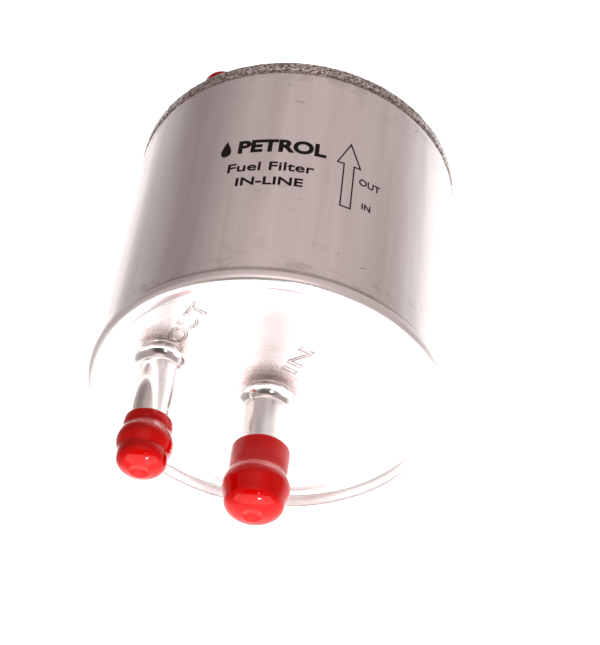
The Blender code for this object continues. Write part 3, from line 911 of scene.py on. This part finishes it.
def print_word(name, body, height, width, degrees, station, weight):
    """A word printed on the wall, from an angle at its left end and the station of its foot."""
    mesh = text_mesh(name, body, height, width, weight)
    wrapped(mesh, math.radians(degrees), station)
    print_piece(mesh, name)


def outline_mesh(name, loops):
    """A flat filled shape from closed loops of (x, y), the inner ones as holes."""
    curve = bpy.data.curves.new(name, "CURVE")
    curve.dimensions = "2D"
    curve.fill_mode = "BOTH"
    curve.extrude = PRINT_DEPTH / 2
    for loop in loops:
        spline = curve.splines.new("POLY")
        spline.points.add(len(loop) - 1)
        spline.use_cyclic_u = True
        for point, (x, y) in zip(spline.points, loop):
            point.co = (x, y, 0, 1)
    return mesh_from_curve(curve, name)


def arrow_loops():
    """Outline arrow that points from inlet to outlet, as an outer and an inner loop."""
    half_shaft = 1.30 * MM
    half_head = 2.85 * MM
    shaft = 12.9 * MM
    head = 7.1 * MM
    line = 0.30 * MM
    slope = math.atan2(half_head, head)
    outer = [
        (-half_shaft, 0), (half_shaft, 0), (half_shaft, shaft), (half_head, shaft), (0, shaft + head),
        (-half_head, shaft), (-half_shaft, shaft),
    ]
    thin = half_shaft - line
    wide = half_head - line / math.tan((math.pi / 2 - slope) / 2) * 0.98
    top = shaft + head - line / math.sin(slope)
    inner = [
        (-thin, line), (thin, line), (thin, shaft + line), (wide, shaft + line), (0, top),
        (-wide, shaft + line), (-thin, shaft + line),
    ]
    return outer, inner


def drop_loop(width, height, points=24):
    """A plain falling drop."""
    loop = []
    for k in range(points):
        t = 2 * math.pi * k / points
        pinch = math.sin(t / 2) ** 1.6
        loop.append((width / 2 * math.sin(t) * pinch, height / 2 * (1 + math.cos(t))))
    return loop


def make_print():
    """Generic print: a drop, what the part is, and the flow arrow with its two ends."""
    mesh = outline_mesh("print_drop", [drop_loop(3.3 * MM, 5.0 * MM)])
    wrapped(mesh, math.radians(-19.6), 38.5 * MM)
    print_piece(mesh, "print_drop")
    print_word("print_petrol", "PETROL", 4.0 * MM, 19.0 * MM, -15.4, 38.8 * MM, 0.040)
    print_word("print_fuel_filter", "Fuel Filter", 2.65 * MM, 18.4 * MM, -17.9, 33.0 * MM, 0.014)
    print_word("print_in_line", "IN-LINE", 2.40 * MM, 14.2 * MM, -14.4, 28.6 * MM, 0.022)
    print_word("print_out", "OUT", 1.95 * MM, 5.1 * MM, 26.0, 34.3 * MM, 0.012)
    print_word("print_in", "IN", 1.75 * MM, 2.1 * MM, 27.7, 27.4 * MM, 0.012)
    outer, inner = arrow_loops()
    mesh = outline_mesh("print_arrow", [outer, inner])
    wrapped(mesh, math.radians(22.0), 25.9 * MM)
    print_piece(mesh, "print_arrow")


STAMP_TUBE = 0.03
STAMP_HEIGHT = 0.13 * MM


def make_stamp(name, body, height, width, x, z, degrees):
    """Embossed outline letters on the inlet cover's panel, seen from the inlet end."""
    curve = bpy.data.curves.new(name, "FONT")
    curve.body = body
    curve.resolution_u = 6
    curve.fill_mode = "NONE"
    curve.bevel_depth = STAMP_TUBE
    curve.bevel_resolution = 2
    mesh = mesh_from_curve(curve, name)
    low = Vector([min(v.co[i] for v in mesh.vertices) for i in range(3)])
    high = Vector([max(v.co[i] for v in mesh.vertices) for i in range(3)])
    turn = math.radians(degrees)
    for vertex in mesh.vertices:
        u = (vertex.co.x - low.x) * width / (high.x - low.x)
        v = (vertex.co.y - low.y) * height / (high.y - low.y)
        w = vertex.co.z * STAMP_HEIGHT / STAMP_TUBE
        across = x + u * math.cos(turn) - v * math.sin(turn)
        up = z + u * math.sin(turn) + v * math.cos(turn)
        vertex.co = at(across, RECESS - w, up)
    mesh.flip_normals()
    mesh.materials.clear()
    made = new_object(name, mesh, STAMPED, 60)
    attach(made, "filter")


# ---------------------------------------------------------------- assembly
def finish_inner_nodes():
    """Finishes for the pieces inside the can, from the record's slots."""
    slots = {part["node"]: part["material_slot"] for part in frame["record"]["subparts"]}
    for name, node in frame["nodes"].items():
        finish = INNER_FINISHES.get(slots[name])
        if finish is not None and node.material_slots:
            node.material_slots[0].material = finish


def make_pieces():
    """Every piece that this script builds."""
    make_can()
    make_inlet_cover()
    make_outlet_cover()
    make_pipe("inlet_stub", "inlet_pipe", INLET_PIPE_RADIUS, INLET_COLLAR_RADIUS, RECESS, -1)
    make_pipe("return_stub", "return_pipe", SMALL_PIPE_RADIUS, SMALL_COLLAR_RADIUS, RECESS, -1)
    make_pipe("outlet_stub", "outlet_pipe", SMALL_PIPE_RADIUS, SMALL_COLLAR_RADIUS, OUTLET_PANEL, 1)
    make_weld("inlet_braze", "inlet_stub", INLET_PIPE_RADIUS, RECESS, -1)
    make_weld("return_braze", "return_stub", SMALL_PIPE_RADIUS, RECESS, -1)
    make_weld("outlet_braze", "outlet_stub", SMALL_PIPE_RADIUS, OUTLET_PANEL, 1)
    wide_bore = INLET_PIPE_RADIUS + CAP_GAP
    bore = SMALL_PIPE_RADIUS + CAP_GAP
    make_cap("inlet_cap", "inlet_dust_cap", "inlet_cap", WIDE_CAP, wide_bore, -1, 0.4)
    make_cap("return_cap", "return_dust_cap", "return_cap", NARROW_CAP, bore, -1, 2.3)
    make_cap("outlet_cap", "outlet_dust_cap", "outlet_cap", NARROW_CAP, bore, 1, 5.1)
    make_regulator_spring()
    make_print()
    make_stamp("stamp_out", "OUT", 4.0 * MM, 13.4 * MM, -18.0 * MM, 13.6 * MM, 60)
    make_stamp("stamp_in", "IN", 3.4 * MM, 8.4 * MM, 5.6 * MM, 6.8 * MM, 60)


finish_inner_nodes()
make_pieces()


# ---------------------------------------------------------------- floor, lights and world
def make_floor():
    """Pale lit table, bright near the filter and dimmer far to its left and right."""
    bpy.ops.mesh.primitive_plane_add(size=8, location=(0, 0, -0.3 * MM))
    floor = bpy.context.object
    floor.name = "floor"
    material, tree, shader = blank("lit_table")
    split = put(tree, "ShaderNodeSeparateXYZ")
    tree.links.new(place_of(tree), split.inputs[0])
    side = maths(tree, "ADD", split.outputs["X"], maths(tree, "MULTIPLY", split.outputs["Y"], 0.217))
    left = fade(tree, side, -0.100, -0.070, 0.14, 1.0)
    right = fade(tree, split.outputs["X"], 0.07, 0.28, 1.0, 0.34)
    glow = maths(tree, "MULTIPLY", maths(tree, "MULTIPLY", left, right), 1.15)
    shader.inputs["Base Color"].default_value = (0.50, 0.495, 0.49, 1)
    shader.inputs["Roughness"].default_value = 0.8
    shader.inputs["Specular IOR Level"].default_value = 0.1
    shader.inputs["Emission Color"].default_value = (1.0, 0.995, 0.985, 1)
    tree.links.new(glow, shader.inputs["Emission Strength"])
    floor.data.materials.append(material)


def area_light(name, place, aim, size, power):
    """A soft white rectangular light."""
    data = bpy.data.lights.new(name, "AREA")
    data.shape = "RECTANGLE"
    data.size, data.size_y = size
    data.energy = power
    lamp = bpy.data.objects.new(name, data)
    lamp.location = place
    lamp.rotation_mode = "QUATERNION"
    lamp.rotation_quaternion = (Vector(aim) - Vector(place)).to_track_quat("-Z", "Y")
    bpy.context.scene.collection.objects.link(lamp)


def sky_lobe(tree, direction, toward, start, end, strength):
    """Light that grows from start to end as the direction's dot product with toward rises."""
    node = put(tree, "ShaderNodeVectorMath", operation="DOT_PRODUCT")
    tree.links.new(direction, node.inputs[0])
    node.inputs[1].default_value = Vector(toward).normalized()
    return fade(tree, node.outputs["Value"], start, end, 0.0, strength)


def make_world():
    """Soft studio surround: light overhead, dim to the left and behind the camera."""
    world = bpy.data.worlds.new("studio")
    bpy.context.scene.world = world
    world.use_nodes = True
    tree = world.node_tree
    background = tree.nodes["Background"]
    direction = put(tree, "ShaderNodeTexCoord").outputs["Generated"]
    light = sky_lobe(tree, direction, (0, 0.10, 1), 0.65, 1.0, 0.26)
    for toward, start, end, strength in (
        ((0, -0.05, 1), 0.88, 0.98, 0.50),
        ((-0.72, 0.68, 0.10), 0.82, 0.97, -0.20),
        ((0, -0.72, 0.66), 0.78, 0.96, -0.40),
        ((0.45, 0.68, 0.55), 0.85, 0.98, 0.05),
    ):
        light = maths(tree, "ADD", light, sky_lobe(tree, direction, toward, start, end, strength))
    light = maths(tree, "MAXIMUM", maths(tree, "ADD", light, 0.49), 0.06)
    background.inputs["Color"].default_value = (1.0, 0.83, 0.81, 1)
    tree.links.new(light, background.inputs["Strength"])


make_floor()
make_world()
area_light("low_card", (0, -0.165, 0.050), (0, -0.03, 0.05), (0.30, 0.09), 0.24)
area_light("glint", (0.12, -0.46, 0.36), (0, -0.05, 0.04), (0.03, 0.03), 0.22)
area_light("low_glint", (0.09, -0.45, 0.09), (0, -0.05, 0.04), (0.06, 0.035), 0.80)
bpy.context.scene.view_settings.view_transform = "Standard"
